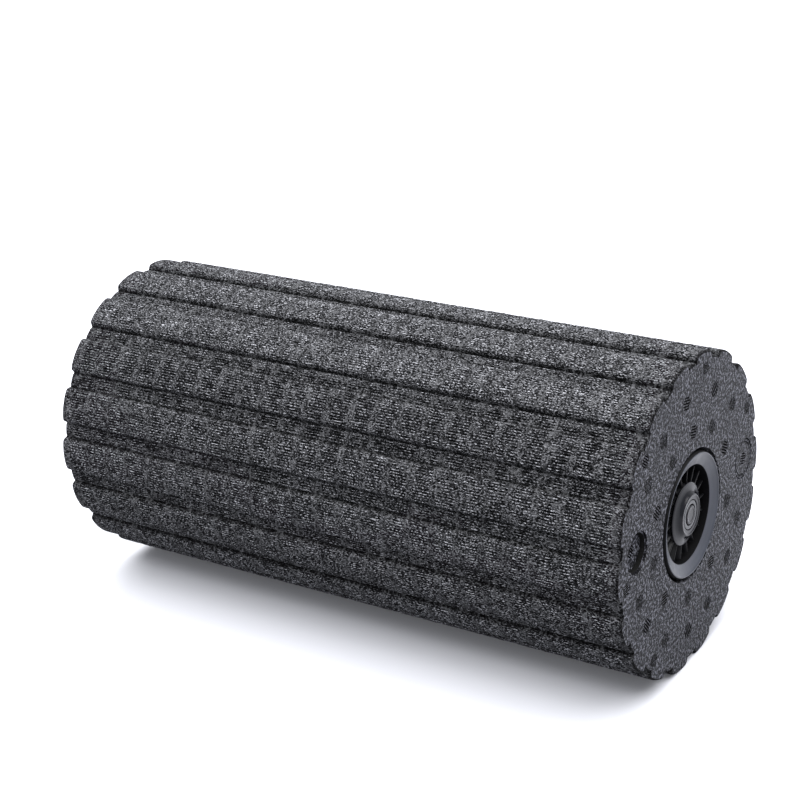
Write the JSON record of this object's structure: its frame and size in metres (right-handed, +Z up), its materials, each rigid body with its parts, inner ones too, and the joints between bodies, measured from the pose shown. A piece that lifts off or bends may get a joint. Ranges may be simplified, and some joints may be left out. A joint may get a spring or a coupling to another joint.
{
  "type": "foam roller",
  "caption": "Ribbed cylindrical foam massage roller on a hollow powered core, with a push button in one end cap and a covered charge socket in the other.",
  "frame": {"origin": "on the floor, under the middle of the roller lying on its side", "axes": "+X along the roller's axis towards the end with the power button, +Z up, +Y across"},
  "size_m": [0.3014, 0.148, 0.1467],
  "materials": {
    "foam": "moulded EPP bead foam, fine pebble grain",
    "satin_plastic": "satin",
    "black_plastic": "matt",
    "smoked_diffuser": "smoked, translucent",
    "core_plastic": "moulded",
    "rubber": "matt",
    "steel": "plain",
    "nickel": "plated",
    "copper": "wound enamelled wire",
    "ferrite": "sintered",
    "circuit_board": "solder mask",
    "cell_sleeve": "shrink sleeve over a steel can",
    "red_insulation": "insulation",
    "black_insulation": "insulation"
  },
  "bodies": {
    "roller": {"foam_body": "foam", "front_bezel": "satin_plastic", "rear_bezel": "satin_plastic", "front_hub": "satin_plastic", "rear_hub": "satin_plastic", "front_grille": "black_plastic", "rear_grille": "black_plastic", "tact_switch": "black_plastic", "charge_socket": "black_plastic", "motor_end_bell": "black_plastic", "light_ring": "smoked_diffuser", "status_led_1": "smoked_diffuser", "status_led_2": "smoked_diffuser", "core_tube": "core_plastic", "front_bulkhead": "core_plastic", "rear_bulkhead": "core_plastic", "battery_spacer_front": "core_plastic", "battery_spacer_rear": "core_plastic", "motor_mount_plate": "core_plastic", "cradle_upper": "core_plastic", "cradle_lower": "core_plastic", "damper_ring_front": "rubber", "damper_ring_rear": "rubber", "motor_can": "steel", "motor_bearing_front": "steel", "motor_bearing_rear": "steel", "door_hinge_pin": "steel", "front_cap_screw_1": "steel", "front_cap_screw_2": "steel", "rear_cap_screw_1": "steel", "rear_cap_screw_2": "steel", "control_board_screw_1": "steel", "control_board_screw_2": "steel", "charge_board_screw_1": "steel", "charge_board_screw_2": "steel", "motor_screw_1": "steel", "motor_screw_2": "steel", "battery_strip": "nickel", "motor_magnet_left": "ferrite", "motor_magnet_right": "ferrite", "control_board": "circuit_board", "charge_board": "circuit_board", "battery_board": "circuit_board", "battery_cell_1": "cell_sleeve", "battery_cell_2": "cell_sleeve", "battery_cell_3": "cell_sleeve", "motor_lead_red": "red_insulation", "control_lead": "red_insulation", "motor_lead_black": "black_insulation", "charge_lead": "black_insulation"},
    "rotor": {"rotor_shaft": "steel", "rotor_core": "copper", "weight_front": "nickel", "weight_rear": "nickel", "weight_screw_front": "steel", "weight_screw_rear": "steel"},
    "button": {"power_button": "satin_plastic", "switch_plunger": "rubber"},
    "charge_door": {"port_door": "rubber"}
  },
  "joints": [
    {"name": "button_press", "type": "slide", "parent": "roller", "child": "button", "axis": [-1, 0, 0], "range_m": [0, 0.0006], "stiffness_N_per_m": 2500},
    {"name": "rotor_spin", "type": "hinge", "parent": "roller", "child": "rotor", "pos_m": [0, 0, 0.07333], "axis": [1, 0, 0], "continuous": true},
    {"name": "door_hinge", "type": "hinge", "parent": "roller", "child": "charge_door", "pos_m": [-0.1489, 0, 0.08073], "axis": [0, 1, 0], "range_deg": [0, 100]}
  ]
}
